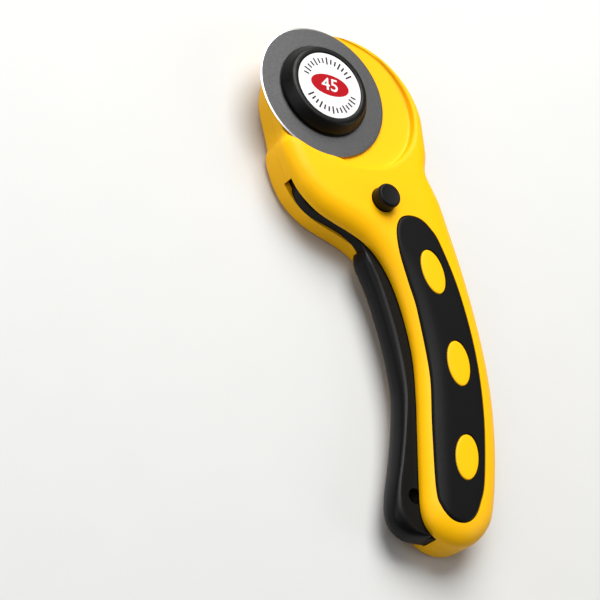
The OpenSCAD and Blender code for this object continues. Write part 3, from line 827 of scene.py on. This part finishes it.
lockParts = {"capRadius": 4, "capTop": 6.6, "clipHeight": -1.9, "clipLeg": 5.6,
             "clipReach": 2.9, "clipWire": 0.35}
r, top = lockParts["capRadius"], lockParts["capTop"]
button = turnedSolid("lockButton", softened([
    [1, -10], [1.5, -10], [1.5, -9.3], [2.9, -9.3], [2.9, -2.35], [2.5, -2.35], [2.5, -1.45],
    [2.9, -1.45], [2.9, 0.65], [2.5, 0.65], [2.5, 1.55], [2.9, 1.55], [2.9, 1.9], [r, 1.9],
    [r, top - 0.6], [r - 0.55, top], [2.6, top - 0.1], [0.6, top - 0.18]], 0.22),
    lockCentre, 72)
finished(button, "lock", "button", buttonAcetal, "lock_button", sharp=40)
tail = turnedSolid("lockTail", softened([
    [1.52, -9.8], [0.6, -10.4], [0.6, -10.5], [r - 0.4, -10.5], [r, -10.1], [r, -9.3],
    [1.52, -9.3]], 0.15, closed=True), lockCentre, 72, closed=True)
finished(tail, "lock", "button", buttonAcetal, "lock_tail")


def clipPath():
    # two straight legs joined by a half circle, all at one height
    x, y = lockCentre
    z, leg, reach = (lockParts[k] for k in ("clipHeight", "clipLeg", "clipReach"))
    bend = arcPoints((x + leg, y), reach, -90, 90, 24)
    path = np.vstack([[x - leg, y - reach], bend, [x - leg, y + reach]])
    return np.column_stack([path, np.full(len(path), z)])


finished(tubeSolid("detentClip", clipPath(), lockParts["clipWire"]), "handle", "spring",
         springWire, "detent_clip")


spring = {"endAngle": 38, "turns": 1.75, "coil": 4.5, "low": -11, "high": -9.3, "leg": 9,
          "wire": 0.45}


def springPath():
    # a helix about the pivot with a level leg at each end
    s = np.linspace(0, 1, 90)
    a = np.radians(spring["endAngle"] + 360 * spring["turns"] * (1 - s))
    helix = np.stack([pivot[0] + spring["coil"] * np.cos(a),
                      pivot[1] + spring["coil"] * np.sin(a),
                      spring["low"] + (spring["high"] - spring["low"]) * s], 1)
    start = helix[0] + spring["leg"] * np.array([-math.sin(a[0]), math.cos(a[0]), 0])
    end = helix[-1] + spring["leg"] * np.array([math.sin(a[-1]), -math.cos(a[-1]), 0])
    return np.vstack([start, helix, end])


finished(tubeSolid("returnSpring", springPath(), spring["wire"]), "handle", "spring",
         springWire, "return_spring")
pin = turnedSolid("pivotPin", softened([[1, -12.5], [1.7, -12.5], [2, -12.2], [2, 0.2],
                                        [1.7, 0.5], [1, 0.5]], 0.08), pivot, 48)
finished(pin, "handle", "pin", zincSteel, "pivot_pin")
bush = turnedSolid("pivotBush", softened([[2.05, -8.7], [3.2, -8.7], [3.2, -2.8],
                                          [2.05, -2.8]], 0.15, closed=True), pivot, 48,
                   closed=True)
finished(bush, "lever_arm", "brass", turnedBrass, "pivot_bush")


def shellScrew(number, centre):
    # pan head with a cross recess that narrows inwards
    screw = turnedSolid(f"shellScrew{number}", softened([
        [0.6, -11.9], [1.7, -11.75], [2.3, -11.2], [2.3, -10.6], [1.2, -10.6], [1.2, -2.3],
        [0.8, -1.9], [0.4, -1.9]], 0.1), centre, 48)
    for turn in (0, 90):
        t = math.radians(turn + 20 * number)
        corner = np.array([[-1, -1], [1, -1], [1, 1], [-1, 1]])
        axes = np.array([[math.cos(t), math.sin(t)], [-math.sin(t), math.cos(t)]])
        rings = np.array([np.column_stack([(corner * size) @ axes + centre, np.full(4, z)])
                          for size, z in (((1.3, 0.32), -12.4), ((1.0, 0.2), -11.2))])
        carve(screw, stackSolid("cross", rings, strips=False))
    return finished(screw, "handle", "screw", zincSteel, f"shell_screw_{number}")


for number, centre in enumerate(screwCentres, 1):
    shellScrew(number, centre)
print("small parts ready")


studio = {
    "position": (-0.383007, -0.200913, 0.464070),
    "direction": (0.57799442, 0.32169772, -0.74995535),
    "up": (0.00138589, 0.91862878, 0.39511927),
    "lens": 123.85, "sensor": 36,
    "ambient": 0.1, "floorHalf": 3, "floorColours": ("#D3D3D3", "#D6D6D6"),
    # place, size in metres, power in watts and colour; each faces the origin
    "lights": [((0.02, 0.66, 0.84), 0.9, 19.5, "#FFFFFC"),
               ((0.8, -0.35, 0.45), 0.5, 1.6, "#FFFFFF"),
               ((-0.75, 0.05, 0.5), 0.6, 1.8, "#FFFFFF")],
}


def lookAlong(direction, up):
    # columns are right, up and back
    back = -Vector(direction).normalized()
    right = Vector(up).cross(back).normalized()
    return Matrix((right, back.cross(right), back)).transposed().to_4x4()


def buildStudio():
    camera = bpy.data.objects.new("camera", bpy.data.cameras.new("camera"))
    camera.matrix_world = (Matrix.Translation(studio["position"])
                           @ lookAlong(studio["direction"], studio["up"]))
    camera.data.lens, camera.data.sensor_width = studio["lens"], studio["sensor"]
    camera.data.clip_start, camera.data.clip_end = 0.01, 20
    bpy.context.scene.collection.objects.link(camera)
    bpy.context.scene.camera = camera
    bpy.context.scene.view_settings.view_transform = "Standard"
    for number, (place, size, power, colour) in enumerate(studio["lights"], 1):
        lamp = bpy.data.lights.new(f"softbox{number}", "AREA")
        lamp.size, lamp.energy, lamp.color = size, power, linearColour(colour)[:3]
        holder = bpy.data.objects.new(lamp.name, lamp)
        holder.matrix_world = Matrix.Translation(place) @ lookAlong(-Vector(place),
                                                                    (0, 0.01, 1))
        bpy.context.scene.collection.objects.link(holder)
    world = bpy.data.worlds.new("paleRoom")
    world.use_nodes = True
    background = world.node_tree.nodes["Background"]
    background.inputs["Color"].default_value = (1, 1, 1, 1)
    background.inputs["Strength"].default_value = studio["ambient"]
    bpy.context.scene.world = world
    size = studio["floorHalf"]
    mesh = bpy.data.meshes.new("floor")
    mesh.from_pydata([(-size, -size, 0), (size, -size, 0), (size, size, 0), (-size, size, 0)],
                     [], [(0, 1, 2, 3)])
    floor = bpy.data.objects.new("floor", mesh)
    floor.data.materials.append(grainy("palePaper", studio["floorColours"], 0.9, 2, 0.002))
    bpy.context.scene.collection.objects.link(floor)


buildStudio()
print("studio ready")
